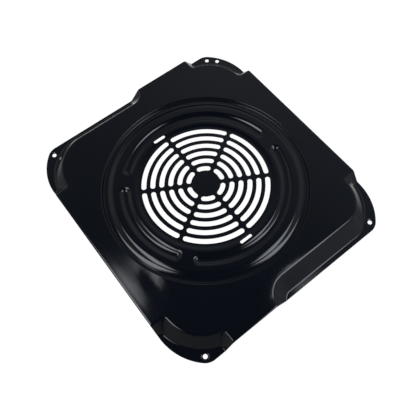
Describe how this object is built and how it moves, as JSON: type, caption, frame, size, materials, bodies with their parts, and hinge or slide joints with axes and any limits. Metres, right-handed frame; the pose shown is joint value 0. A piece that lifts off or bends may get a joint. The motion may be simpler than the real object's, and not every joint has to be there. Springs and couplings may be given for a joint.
{
  "type": "oven fan cover",
  "caption": "Pressed enamelled sheet cover for an oven fan: raised field with a slotted round grille, stiffening grooves and sunk corner flanges with screw holes.",
  "frame": {"origin": "under the middle of the grille, on the plane that the flanges rest on", "axes": "+X along the longer side, +Y along the shorter side, +Z out of the front face"},
  "size_m": [0.308, 0.278, 0.0133],
  "materials": {
    "enamel": "glossy vitreous enamel, blue-black"
  },
  "bodies": {
    "root": {"fan_cover": "enamel"}
  },
  "joints": []
}
